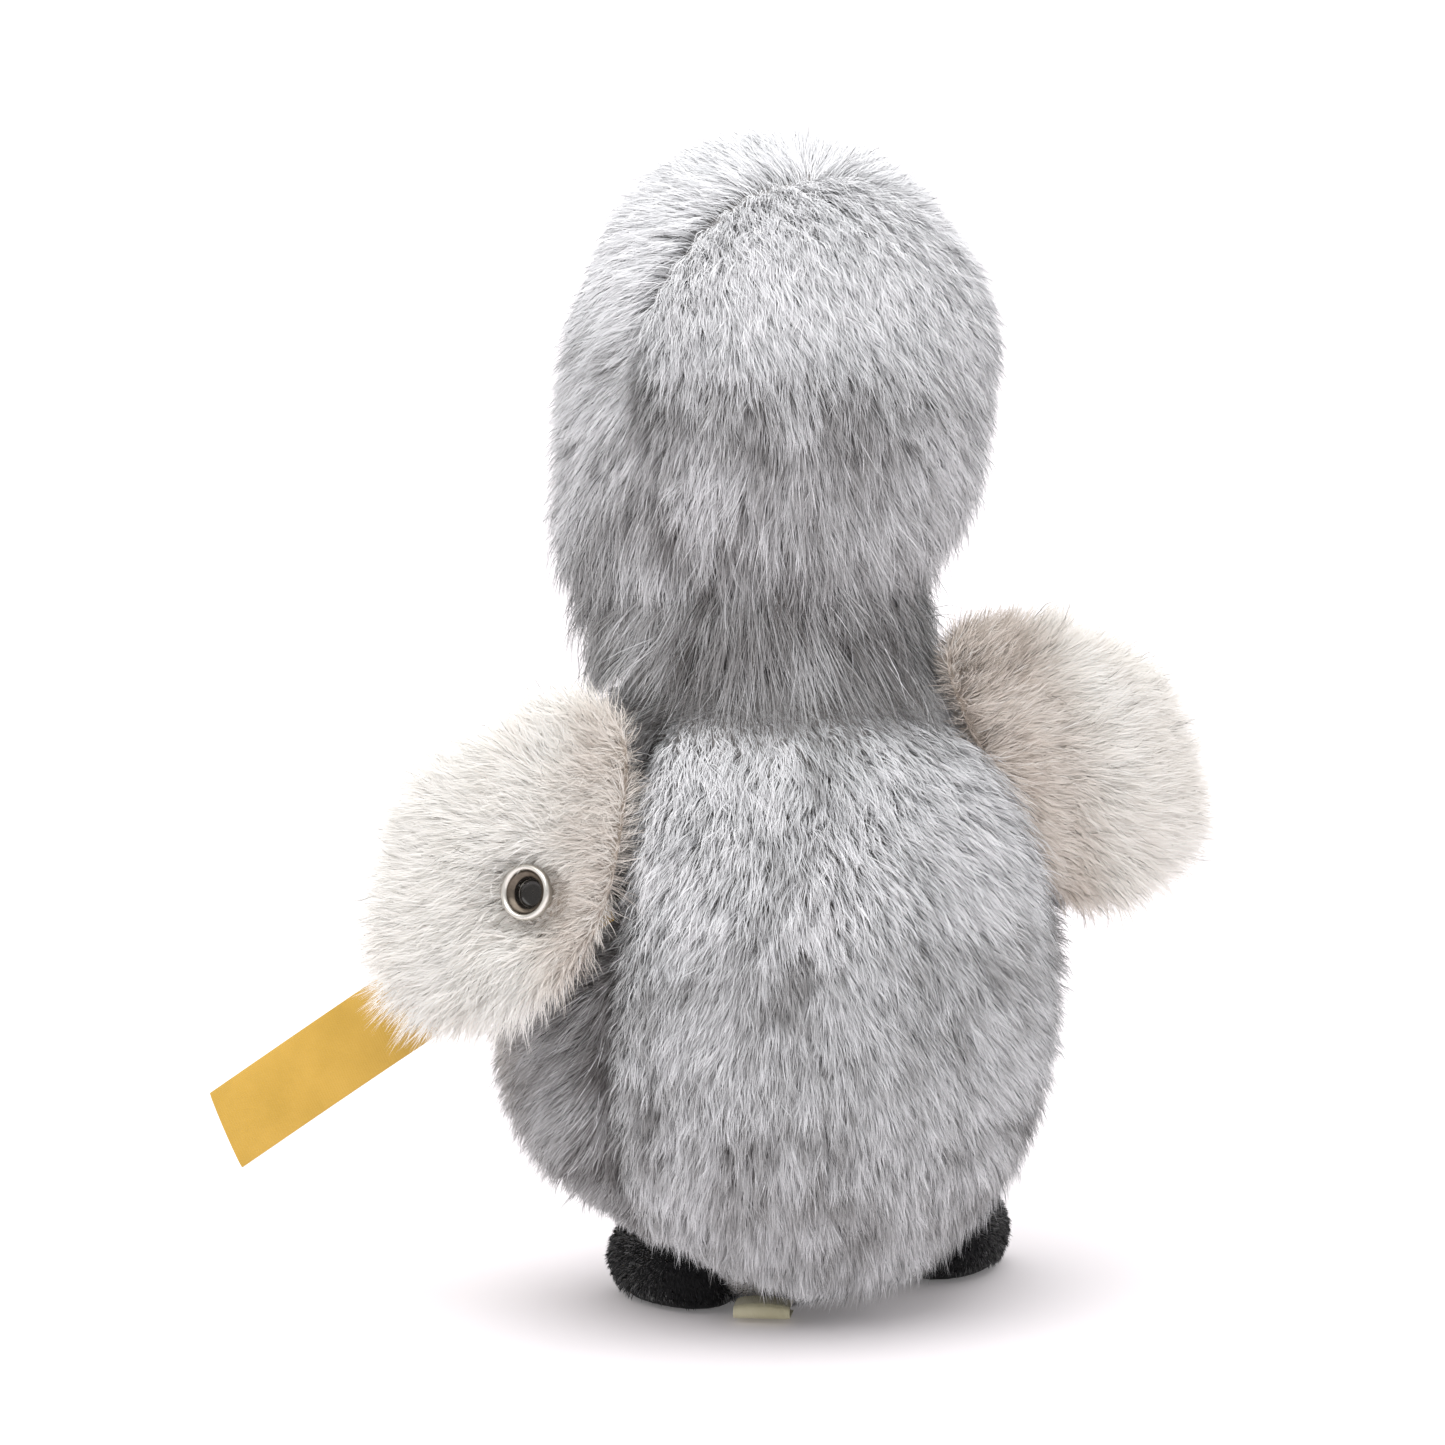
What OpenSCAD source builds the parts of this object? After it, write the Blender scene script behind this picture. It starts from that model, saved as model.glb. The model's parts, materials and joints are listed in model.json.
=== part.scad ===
// Plush penguin chick, standing, facing -Y, with its left side towards +X.
// Millimetres, +Z up. The origin is the centre of the flat base on the ground.
// Every fabric panel is a shell as thick as the backing cloth and the pressed-down pile.

/* [Body] */
// Largest radius of the body
body_r = 30.8; // [29.5:0.1:31.5]
// Height of the body's widest level
body_mid_z = 39; // [38.5:0.1:39.5]
// Height at which the body's panels end below the neck
body_top_z = 76; // [75:0.1:76.2]
// Height of the seam between the base gusset and the panels
base_seam_z = 5; // [4.5:0.1:6]
// Thickness of a plush panel, pile included
wall = 4; // [3:0.1:4.2]

/* [Head] */
// Radius of the crown
crown_r = 24; // [23:0.1:24.5]
// Height of the crown's centre
crown_z = 111; // [110.5:0.1:112]
// Radius of the cheeks
cheek_r = 23; // [22.5:0.1:23.5]
// Height of the cheeks' centre
cheek_z = 99; // [98.5:0.1:99.5]
// How far the cheeks' centre lies in front of the crown's
cheek_fwd = 5; // [4:0.1:6]
// Distance of the seam around the back of the head behind the crown's centre
head_seam_y = 9; // [8:0.1:11]
// Radius of the round face mask
mask_r = 16.5; // [15.5:0.1:17.5]

/* [Neck] */
// Radius of the ball of fibre in the neck
neck_r = 12.5; // [12:0.1:12.8]
// Height of the neck's centre
neck_z = 73; // [72.5:0.1:73.5]
// Radius of the head's lower edge
skirt_r = 17; // [16.5:0.1:17.5]

/* [Flippers] */
// Largest thickness of a flipper
flipper_t = 7; // [6.6:0.1:7.4]
// Thickness of a flipper's own panels
flipper_wall = 2; // [1.8:0.1:2.2]
// Radius of a flipper at its root
root_r = 13.5; // [13:0.1:14]
// Radius of a flipper at its tip
tip_r = 10.5; // [10:0.1:11]
// Angle of the shoulder seam from straight behind, towards the side
shoulder_az = 65; // [62:1:68]
// Inward lean of the shoulder seam
shoulder_lean = 15; // [13:1:17]
// Distance of the shoulder seam from the body's axis
shoulder_r = 33.2; // [33:0.1:34]

/* [Feet] */
// Length of a foot
foot_l = 21; // [19:0.5:23]
// Width of a foot
foot_w = 14.5; // [13:0.5:15.5]
// Height of a foot
foot_h = 9.5; // [8.5:0.5:10]

/* [Button and ribbon] */
// Radius of the hollow rivet's head
button_r = 3.25; // [3:0.05:3.5]
// Outer radius of the rivet's tube
tube_r = 1.6; // [1.4:0.05:1.8]
// Width of the ribbon
ribbon_w = 10; // [9:0.5:11]
// Length of the ribbon
ribbon_l = 58; // [50:1:62]
// Thickness of the ribbon
ribbon_t = 0.5; // [0.4:0.1:0.6]

/* [Hidden] */
$fn = 96;

gap = 0.2;             // between pieces of one body that only touch when squeezed
clear = 0.3;           // between pieces of different bodies
snug = 0.05;           // round a stem or tube in its hole
big = 200;             // half-space blocks
steps = 20;            // levels in each half of the body's outline
head_steps = 14;       // levels in each arc of the head's outline

// Body outline: a half ellipse above the widest level and another below it
up_h = 45;
low_h = 40.5;
seam_r = 70;           // radius of the curved side seams, seen from the side
seam_z = body_mid_z + 4;
back_seam_y = 13;
front_seam_y = 18;

neck_y = -1;
skirt_y = -2;
skirt_z = neck_z + 6.8;
skirt_h = 18;          // height of the straight form that carries the head's lower edge
skirt_under = 5;       // how far that form starts below the edge
head_axis = sqrt(pow(crown_z - cheek_z, 2) + pow(cheek_fwd, 2));
head_lean = atan(cheek_fwd / (crown_z - cheek_z));
mask_z = 102;
eye_az = 24;
eye_z = 108;
eye_pivot_y = -3;      // place in the head that both eyes' axes lead out from
eye_r = 2.8;
eye_cut = 0.4;         // how far the eye's flat back lies behind its centre
eye_reach = 23.4;      // from that place to the eye's centre
stem_r = 1.1;
stem_l = 7;
washer_r = 3.2;
washer_t = 1;
stem_end = 0.3;        // how far a stem ends past its washer
beak_z = 99.5;
beak_l = 9;
beak_r = 4.8;
beak_low_r = 4.2;
beak_tip_r = 0.9;
beak_shorter = 1.6;    // how far the lower half ends behind the upper
beak_sunk = 2.4;       // how far the beak's root lies inside the cheeks

// Flippers: [seam height, tip x, tip z, sweep] in the frame of the shoulder seam
left_set = [58, 17, -11.5, 73];
right_set = [60.5, 18.5, -4.5, 57];
lean_z = 46;           // height at which a shoulder seam is shoulder_r from the body's axis
root_at = [5, 1];      // centre of the root's arc
root_edge = 2.4;       // half thickness of the rounded root
left_inward = 5;       // degrees the left flipper can press in towards the body
arc_steps = 16;        // edges in each arc of a flipper's outline
lens_r = 46;           // radius of each bulged face
lens_at = [12, -4];    // crown of each bulged face

// Rivet: its place on the left flipper, and its parts along its own axis
rivet_x = 5.8;
rivet_z = -6.2;
rivet_turn = -7;
button_y = 5.6;        // outer end of the rivet's head
button_t = 1.5;
tube_wall = 0.45;
ribbon_y = -4.6;       // outer face of the ribbon
ribbon_drop = 39;      // degrees by which the ribbon points down from level
ribbon_tail = 4;       // length of ribbon behind the rivet
rivet_run = 0.08;      // running clearance of the ribbon on the rivet
rivet_washer_t = 0.6;
hole_play = 0.1;       // between the rivet's tube and the flipper's hole
pocket_x = 2.3;
pocket_r = 8.8;
pocket_h = 12;

// Feet: [x, y, turn] of each foot's centre
left_foot_at = [10.5, -5.5, 2];
right_foot_at = [-24, -8, -33];
sole_t = 1.2;
foot_wall = 1.6;
foot_dome = 17;        // radius of a foot's arched top

// Label: [x, y, turn], its size, and the tape's thickness
label_at = [5, 7.5, -28];
label_w = 7.2;
label_l = 5.5;
label_h = 1.6;
label_t = 0.4;
label_z = 0.5;

GREY = [0.72, 0.73, 0.75];
PALE = [0.90, 0.90, 0.89];
CREAM = [0.93, 0.91, 0.86];
BLACK = [0.05, 0.05, 0.06];
FIBRE = [0.96, 0.96, 0.94];
GOLD = [0.91, 0.72, 0.33];
STEEL = [0.75, 0.74, 0.72];

// ---- Cutting blocks ----
module above(z) { translate([-big, -big, z]) cube([2 * big, 2 * big, big]); }
module below(z) { translate([-big, -big, z - big]) cube([2 * big, 2 * big, big]); }
module behind(y) { translate([-big, y, -big]) cube([2 * big, big, 2 * big]); }
module before(y) { translate([-big, y - big, -big]) cube([2 * big, big, 2 * big]); }
module side_of(s) { translate([s > 0 ? gap / 2 : -big - gap / 2, -big, -big]) cube([big, 2 * big, 2 * big]); }

// ---- Body ----
function inset_level(i, t) = body_mid_z + ((i > 0 ? up_h : low_h) - t) * sin(90 * i / steps);
function inset_girth(i, t) = (body_r - t) * cos(90 * i / steps);

// The egg, shrunk all round by t
module egg(t) {
    rotate_extrude()
        polygon([for (i = [-steps : steps]) [max(0, inset_girth(i, t)), inset_level(i, t)]]);
}

module body_solid(t) {
    intersection() {
        egg(t);
        above(t);
    }
}

// Everything in front of the curved seam behind the flippers
module front_of_back_seam(slack) {
    translate([0, back_seam_y - seam_r, seam_z])
        rotate([0, 90, 0]) cylinder(r = seam_r + slack, h = big, center = true);
}

// Everything behind the curved seam beside the belly
module rear_of_front_seam(slack) {
    translate([0, seam_r - front_seam_y, seam_z])
        rotate([0, 90, 0]) cylinder(r = seam_r + slack, h = big, center = true);
}

module body_shell() {
    difference() {
        intersection() {
            egg(0);
            above(base_seam_z + gap / 2);
            below(body_top_z);
        }
        egg(wall);
        neck_ball(clear);
        shoulder_groove(left_set);
        mirror([1, 0, 0]) shoulder_groove(right_set);
        for (a = [0, left_inward]) swung(left_set, -a) rivet_pocket();
    }
}

module body_back_panel() {
    color(GREY) difference() {
        body_shell();
        front_of_back_seam(gap / 2);
    }
}

module body_side_panel(s) {
    color(GREY) intersection() {
        body_shell();
        front_of_back_seam(-gap / 2);
        rear_of_front_seam(-gap / 2);
        side_of(s);
    }
}

module belly_panel() {
    color(PALE) difference() {
        body_shell();
        rear_of_front_seam(gap / 2);
    }
}

module base_gusset() {
    color(GREY) intersection() {
        difference() {
            body_solid(0);
            body_solid(wall);
        }
        below(base_seam_z - gap / 2);
    }
}

module body_stuffing() {
    color(FIBRE) difference() {
        intersection() {
            body_solid(wall + gap);
            below(body_top_z - gap);
        }
        neck_ball(clear);
    }
}

// ---- Neck ----
module neck_ball(t) { translate([0, neck_y, neck_z]) sphere(r = neck_r + t); }

module neck_stuffing() { color(FIBRE) neck_ball(0); }

// ---- Head ----
// One turned form: the cheeks' arc, the straight flank tangent to both, and the crown's arc
module crown_to_cheek(t) {
    slope = asin((crown_r - cheek_r) / head_axis);
    translate([0, -cheek_fwd, cheek_z]) rotate([-head_lean, 0, 0]) rotate_extrude()
        polygon(concat(
            [for (i = [0 : head_steps])
                let (a = -90 + (90 - slope) * i / head_steps) (cheek_r - t) * [max(0, cos(a)), sin(a)]],
            [for (i = [0 : head_steps])
                let (a = -slope + (90 + slope) * i / head_steps)
                    [0, head_axis] + (crown_r - t) * [max(0, cos(a)), sin(a)]]
        ));
}

module skirt(t) {
    translate([0, skirt_y, skirt_z - skirt_under]) cylinder(r = skirt_r - t, h = skirt_h);
}

module head_solid(t, floor_z) {
    difference() {
        intersection() {
            union() {
                crown_to_cheek(t);
                skirt(t);
            }
            above(floor_z);
        }
        neck_ball(clear);
    }
}

module head_shell() {
    difference() {
        head_solid(0, skirt_z);
        union() {
            crown_to_cheek(wall);
            skirt(wall);
        }
    }
}

module mask_plug(slack) {
    translate([0, 0, mask_z]) rotate([90, 0, 0]) cylinder(r = mask_r + slack, h = big);
}

module head_back_panel() {
    color(GREY) intersection() {
        head_shell();
        behind(head_seam_y + gap / 2);
    }
}

module head_side_panel(s) {
    color(GREY) difference() {
        intersection() {
            head_shell();
            before(head_seam_y - gap / 2);
            side_of(s);
        }
        mask_plug(gap / 2);
    }
}

module face_mask() {
    color(PALE) difference() {
        intersection() {
            head_shell();
            mask_plug(-gap / 2);
        }
        for (s = [-1, 1]) on_eye(s) {
            eye_stem(snug);
            translate([0, 0, -eye_cut - snug]) cylinder(r = eye_r + snug, h = big);
        }
    }
}

module head_stuffing() {
    color(FIBRE) difference() {
        head_solid(wall + gap, skirt_z + gap);
        for (s = [-1, 1]) on_eye(s) {
            eye_stem(gap);
            translate([0, 0, -stem_l - gap]) cylinder(r = washer_r + gap, h = stem_l);
        }
    }
}

// Puts its children on the axis of one eye, +Z pointing out of the face
module on_eye(s) {
    translate([0, eye_pivot_y, eye_z]) rotate([0, 0, s * eye_az]) rotate([90, 0, 0])
        translate([0, 0, eye_reach]) children();
}

module eye_stem(t) { translate([0, 0, -stem_l]) cylinder(r = stem_r + t, h = stem_l); }

module eye(s) {
    color(BLACK) on_eye(s) {
        difference() {
            sphere(r = eye_r);
            translate([0, 0, -big]) cylinder(r = eye_r + 1, h = big - eye_cut);
        }
        eye_stem(0);
    }
}

module eye_washer(s) {
    color(FIBRE) on_eye(s) translate([0, 0, -stem_l + stem_end]) difference() {
        cylinder(r = washer_r, h = washer_t);
        translate([0, 0, -1]) cylinder(r = stem_r + snug, h = washer_t + 2);
    }
}

module beak_cone(l, r) {
    difference() {
        translate([0, -cheek_fwd - cheek_r + beak_sunk, beak_z]) rotate([90, 0, 0])
            cylinder(h = l, r1 = r, r2 = beak_tip_r);
        crown_to_cheek(-0.1);
    }
}

module beak_upper() {
    color(BLACK) intersection() {
        beak_cone(beak_l, beak_r);
        above(beak_z + 0.1);
    }
}

module beak_lower() {
    color(BLACK) intersection() {
        beak_cone(beak_l - beak_shorter, beak_low_r);
        below(beak_z - 0.1);
    }
}

// ---- Flippers ----
// Puts its children in the frame of a shoulder seam: +Z up the seam, +X along the flipper
module at_shoulder(set) {
    rotate([0, 0, 90 - shoulder_az]) translate([shoulder_r - (set[0] - lean_z) * tan(shoulder_lean), 0, set[0]])
        rotate([0, -shoulder_lean, 0]) rotate([0, 0, -set[3]]) children();
}

// Turns its children, placed in the body's frame, by a about a shoulder seam
module swung(set, a) {
    reach = shoulder_r - (set[0] - lean_z) * tan(shoulder_lean);
    rotate([0, 0, 90 - shoulder_az]) translate([reach, 0, set[0]]) rotate([0, -shoulder_lean, 0])
        rotate([0, 0, a]) rotate([0, shoulder_lean, 0]) translate([-reach, 0, -set[0]])
            rotate([0, 0, shoulder_az - 90]) children();
}

// Room in the body's panels for the rounded root of a flipper
module shoulder_groove(set) {
    at_shoulder(set) cylinder(r = root_edge + clear, h = 2 * root_r + 4, center = true);
}

// Outline of a flipper: a wide arc at the root, a narrower one at the tip, and flanks tangent to both
module paddle(set, t) {
    tip = [set[1], set[2]];
    along = tip - root_at;
    turn = atan2(along[1], along[0]);
    tilt = acos((root_r - tip_r) / norm(along));
    polygon(concat(
        [for (i = [0 : arc_steps])
            let (a = turn - tilt + 2 * tilt * i / arc_steps) tip + (tip_r - t) * [cos(a), sin(a)]],
        [for (i = [0 : arc_steps])
            let (a = turn + tilt + (360 - 2 * tilt) * i / arc_steps)
                root_at + (root_r - t) * [cos(a), sin(a)]]
    ));
}

module bulge(y, t) { translate([lens_at[0], y, lens_at[1]]) sphere(r = lens_r - t, $fn = 360); }

// A closed paddle with two bulged faces and a rounded root, shrunk all round by t
module flipper_solid(set, t) {
    intersection() {
        rotate([90, 0, 0]) linear_extrude(height = 2 * flipper_t, center = true) paddle(set, t);
        bulge(flipper_t / 2 - lens_r, t);
        bulge(lens_r - flipper_t / 2, t);
        union() {
            translate([t, -big / 2, -big / 2]) cube([big, big, big]);
            if (t == 0) cylinder(r = root_edge, h = big, center = true);
        }
    }
}

module flipper_shell(set) {
    difference() {
        flipper_solid(set, 0);
        flipper_solid(set, flipper_wall);
    }
}

module flipper_outer(set) {
    color(CREAM) at_shoulder(set) intersection() {
        flipper_shell(set);
        behind(gap / 2);
    }
}

module flipper_inner(set) {
    color(CREAM) at_shoulder(set) intersection() {
        flipper_shell(set);
        before(-gap / 2);
    }
}

module flipper_stuffing(set) {
    color(FIBRE) at_shoulder(set) flipper_solid(set, flipper_wall + gap / 2);
}

// ---- Rivet and ribbon, on the left flipper ----
// +Z along the rivet, out of the flipper's outer face; +X level with the flipper
module on_rivet() {
    at_shoulder(left_set) translate([rivet_x, 0, rivet_z]) rotate([0, 0, rivet_turn])
        rotate([-90, 0, 0]) children();
}

module rivet_hole() { on_rivet() cylinder(r = tube_r + hole_play, h = big, center = true); }

// Room in the body's panels for the rivet's washer and the ribbon's end
module rivet_pocket() {
    on_rivet() {
        rotate([0, 0, ribbon_drop]) translate([pocket_x, 0, ribbon_y - ribbon_t - clear])
            cylinder(r = pocket_r, h = pocket_h);
        translate([0, 0, ribbon_y - ribbon_t - rivet_washer_t - 2 * rivet_run - clear])
            cylinder(r = button_r + clear, h = pocket_h);
    }
}

// Rolled head with a recessed ring around the open tube
module rivet_button() {
    bottom = ribbon_y - ribbon_t - rivet_washer_t - 2 * rivet_run;
    color(STEEL) on_rivet() rotate_extrude() difference() {
        polygon([
            [tube_r - tube_wall, bottom], [tube_r, bottom], [tube_r, button_y - button_t],
            [button_r - 0.35, button_y - button_t], [button_r, button_y - button_t + 0.35],
            [button_r, button_y - 0.3], [button_r - 0.3, button_y],
            [button_r - 0.75, button_y - 0.1], [button_r - 0.95, button_y - 0.6],
            [tube_r + 0.55, button_y - 0.7], [tube_r + 0.3, button_y - 0.25],
            [tube_r - 0.2, button_y - 0.25], [tube_r - tube_wall, button_y - 0.6]
        ]);
    }
}

module rivet_washer() {
    color(STEEL) on_rivet()
        translate([0, 0, ribbon_y - ribbon_t - rivet_run - rivet_washer_t]) difference() {
            cylinder(r = button_r - 0.1, h = rivet_washer_t);
            translate([0, 0, -1]) cylinder(r = tube_r + snug, h = rivet_washer_t + 2);
        }
}

module ribbon_tag() {
    color(GOLD) on_rivet() translate([0, 0, ribbon_y - ribbon_t]) difference() {
        rotate([0, 0, ribbon_drop]) translate([-ribbon_tail, -ribbon_w / 2, 0])
            cube([ribbon_l, ribbon_w, ribbon_t]);
        translate([0, 0, -1]) cylinder(r = tube_r + rivet_run, h = ribbon_t + 2);
    }
}

// ---- Feet ----
// Puts its children under the body with +Y along the foot towards the heel
module at_foot(place) {
    translate([place[0], place[1], 0]) rotate([0, 0, place[2]]) children();
}

// A stadium with a domed top, shrunk all round by t and standing on level z0
module foot_solid(t, z0) {
    r = foot_w / 2;
    half = foot_l / 2 - r;
    intersection() {
        linear_extrude(height = foot_h + 1) union() {
            translate([0, half]) circle(r = r - t);
            translate([0, -half]) circle(r = r - t);
            square([2 * (r - t), 2 * half], center = true);
        }
        translate([0, 0, foot_h - foot_dome]) rotate([90, 0, 0])
            cylinder(r = foot_dome - t, h = big, center = true);
        above(z0);
    }
}

module foot_upper(place) {
    color(BLACK) difference() {
        at_foot(place) difference() {
            foot_solid(0, sole_t + gap / 2);
            foot_solid(foot_wall, 0);
        }
        egg(-gap);
    }
}

module foot_sole(place) {
    color(BLACK) difference() {
        at_foot(place) intersection() {
            foot_solid(0, 0);
            below(sole_t - gap / 2);
        }
        egg(-gap);
    }
}

module foot_stuffing(place) {
    color(FIBRE) difference() {
        at_foot(place) foot_solid(foot_wall + gap / 2, sole_t + gap / 2);
        egg(-2 * gap);
    }
}

// A folded strip of woven tape sewn into the base seam
module care_label() {
    color(PALE) difference() {
        translate([label_at[0], label_at[1], label_z]) rotate([0, 0, label_at[2]])
            translate([-label_w / 2, 0, 0]) difference() {
                cube([label_w, label_l, label_h]);
                translate([-1, -1, label_t]) cube([label_w + 2, label_l + 1 - label_t, label_h - 2 * label_t]);
            }
        egg(-gap);
    }
}

body_back_panel();
body_side_panel(1);  // body_left_panel
body_side_panel(-1);  // body_right_panel
belly_panel();
base_gusset();
body_stuffing();
neck_stuffing();
care_label();
foot_upper(left_foot_at);  // left_foot_upper
foot_sole(left_foot_at);  // left_foot_sole
foot_stuffing(left_foot_at);  // left_foot_stuffing
foot_upper(right_foot_at);  // right_foot_upper
foot_sole(right_foot_at);  // right_foot_sole
foot_stuffing(right_foot_at);  // right_foot_stuffing
head_back_panel();
head_side_panel(1);  // head_left_panel
head_side_panel(-1);  // head_right_panel
face_mask();
head_stuffing();
eye(1);  // left_eye
eye(-1);  // right_eye
eye_washer(1);  // left_eye_washer
eye_washer(-1);  // right_eye_washer
beak_upper();
beak_lower();
difference() { flipper_outer(left_set); rivet_hole(); }  // left_flipper_outer
difference() { flipper_inner(left_set); rivet_hole(); }  // left_flipper_inner
difference() { flipper_stuffing(left_set); rivet_hole(); }  // left_flipper_stuffing
mirror([1, 0, 0]) flipper_outer(right_set);  // right_flipper_outer
mirror([1, 0, 0]) flipper_inner(right_set);  // right_flipper_inner
mirror([1, 0, 0]) flipper_stuffing(right_set);  // right_flipper_stuffing
rivet_button();
rivet_washer();
ribbon_tag();
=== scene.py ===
"""Looks for the plush penguin chick: cloth skins, a pile of real strands, velour feet, ribbon, rivet, face.
Every length is in metres. The CAD frame says where the bodies, seams, flippers and trims are."""
import json
import math

import bmesh
import bpy
import numpy as np
from mathutils import Matrix, Vector, kdtree


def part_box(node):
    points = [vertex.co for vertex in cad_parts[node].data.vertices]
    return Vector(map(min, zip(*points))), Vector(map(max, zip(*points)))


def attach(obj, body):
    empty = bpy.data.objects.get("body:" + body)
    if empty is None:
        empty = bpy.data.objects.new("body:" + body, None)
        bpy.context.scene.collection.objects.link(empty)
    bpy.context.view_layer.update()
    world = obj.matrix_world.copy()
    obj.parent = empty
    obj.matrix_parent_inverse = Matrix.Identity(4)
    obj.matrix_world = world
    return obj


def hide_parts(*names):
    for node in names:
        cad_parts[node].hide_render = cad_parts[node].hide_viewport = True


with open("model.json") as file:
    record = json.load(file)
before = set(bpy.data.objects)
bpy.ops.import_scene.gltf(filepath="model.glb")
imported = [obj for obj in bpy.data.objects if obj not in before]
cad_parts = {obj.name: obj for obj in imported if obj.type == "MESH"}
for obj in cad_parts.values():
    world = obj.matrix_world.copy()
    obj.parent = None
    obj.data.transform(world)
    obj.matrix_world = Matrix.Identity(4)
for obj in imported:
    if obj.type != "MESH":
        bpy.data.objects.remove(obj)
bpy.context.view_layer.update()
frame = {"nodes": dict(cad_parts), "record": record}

MM = 0.001
JOINTS = {j["name"]: j for j in frame["record"]["behaviour"]["joints"]}
UP = np.array([0.0, 0.0, 1.0])
UP_WAY = Vector((0, 0, 1))

# ---- Camera, floor and light ----
VIEW_AZIMUTH = math.radians(158)
VIEW_ELEVATION = math.radians(11)
VIEW_DISTANCE = 1.6
VIEW_WIDTH = 0.168
VIEW_AIM = 0.0688
VIEW_OFFSET = -0.0068
FLOOR_HALF = 30.0


def view_axes():
    """Unit vectors from the object towards the camera, and to the right of the picture."""
    a, e = VIEW_AZIMUTH, VIEW_ELEVATION
    back = Vector((math.sin(a) * math.cos(e), -math.cos(a) * math.cos(e), math.sin(e)))
    return back, Vector((math.cos(a), math.sin(a), 0))


def add_object(name, data):
    piece = bpy.data.objects.new(name, data)
    bpy.context.scene.collection.objects.link(piece)
    return piece


def add_camera():
    back, right = view_axes()
    aim = Vector((0, 0, VIEW_AIM)) + right * VIEW_OFFSET
    data = bpy.data.cameras.new("camera")
    data.sensor_width = 36
    data.lens = data.sensor_width * VIEW_DISTANCE / VIEW_WIDTH
    data.clip_start, data.clip_end = 0.05, 20
    camera = add_object("camera", data)
    camera.location = aim + back * VIEW_DISTANCE
    camera.rotation_euler = back.to_track_quat("Z", "Y").to_euler()
    bpy.context.scene.camera = camera


def add_sun(name, way, power, softness):
    """A sun that shines from the given direction; softness is its width in radians."""
    data = bpy.data.lights.new(name, "SUN")
    data.energy = power
    data.angle = softness
    add_object(name, data).rotation_euler = way.to_track_quat("Z", "Y").to_euler()


def add_studio():
    """A pale floor, a pale world, a soft sun high up on the camera's side and a weak one from the front."""
    back, right = view_axes()
    ahead = Vector((back.x, back.y, 0)).normalized()
    scene = bpy.context.scene
    scene.view_settings.view_transform = "Standard"
    scene.view_settings.look = "None"
    world = bpy.data.worlds.new("studio")
    scene.world = world
    world.use_nodes = True
    set_inputs(world.node_tree.nodes["Background"], {"Color": (1, 1, 1, 1), "Strength": 0.70})
    add_sun("key", UP_WAY + ahead * 0.28 - right * 0.14, 2.6, 1.2)
    add_sun("fill", UP_WAY * 0.7 - ahead + right * 0.2, 0.8, 1.4)
    paper, _, shader = principled("floor_paper")
    set_inputs(shader, {"Base Color": (0.83, 0.79, 0.81, 1), "Roughness": 0.9})
    set_inputs(shader, {"Emission Color": (1.0, 0.98, 0.985, 1), "Emission Strength": 0.10})
    corners = np.array([(-1, -1, 0), (1, -1, 0), (1, 1, 0), (-1, 1, 0)]) * FLOOR_HALF
    floor = add_mesh("floor", corners, [(0, 1, 2, 3)], [paper])


# ---- Materials ----
def principled(name):
    material = bpy.data.materials.new(name)
    material.use_nodes = True
    return material, material.node_tree, material.node_tree.nodes["Principled BSDF"]


def set_inputs(node, values):
    for socket, value in values.items():
        node.inputs[socket].default_value = value


def add_node(tree, kind, values):
    node = tree.nodes.new(f"ShaderNode{kind}")
    set_inputs(node, values)
    return node


def srgb(r, g, b):
    """Linear colour of an 8-bit screen colour."""
    return tuple((c / 255 / 12.92) if c <= 10 else (((c / 255) + 0.055) / 1.055) ** 2.4 for c in (r, g, b))


def fibre_material(name, colour, roughness=0.5, sheen=0.3, specular=0.3, glow=0.0):
    """One tone of pile fibre: the mottling comes from which tone each strand and each third of it has.
    glow stands for the light that reaches pale fibres through the pile."""
    material, _, shader = principled(name)
    set_inputs(shader, {"Base Color": (*colour, 1), "Roughness": roughness, "Specular IOR Level": specular})
    set_inputs(shader, {"Sheen Weight": sheen, "Sheen Roughness": 0.4})
    set_inputs(shader, {"Emission Color": (*colour, 1), "Emission Strength": glow})
    return material


def tone_ramp(name, colours, count, **look):
    """Evenly spaced tones from the first screen colour, the darkest, to the last."""
    stops = np.array([srgb(*c) for c in colours])
    places = np.linspace(0, len(stops) - 1, count)
    mixed = np.stack([np.interp(places, range(len(stops)), stops[:, k]) for k in range(3)], axis=1)
    return [fibre_material(f"{name}_{i:02d}", colour, **look) for i, colour in enumerate(mixed.tolist())]


def drifting_material(name, dark, light, scale, detail, stops=(0, 1)):
    """A material whose colour drifts between two by noise, with the parts that more can be linked to."""
    material, tree, shader = principled(name)
    place = add_node(tree, "TexCoord", {}).outputs["Object"]
    drift = add_node(tree, "TexNoise", {"Scale": scale, "Detail": detail})
    mix = add_node(tree, "ValToRGB", {})
    for element, colour, stop in zip(mix.color_ramp.elements, (dark, light), stops):
        element.color = (*colour, 1)
        element.position = stop
    tree.links.new(place, drift.inputs["Vector"])
    tree.links.new(drift.outputs["Fac"], mix.inputs["Fac"])
    tree.links.new(mix.outputs["Color"], shader.inputs["Base Color"])
    return material, tree, shader, place, drift.outputs["Fac"]


def add_bump(tree, shader, height, strength, distance):
    bumps = add_node(tree, "Bump", {"Strength": strength, "Distance": distance})
    tree.links.new(height, bumps.inputs["Height"])
    tree.links.new(bumps.outputs["Normal"], shader.inputs["Normal"])


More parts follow.
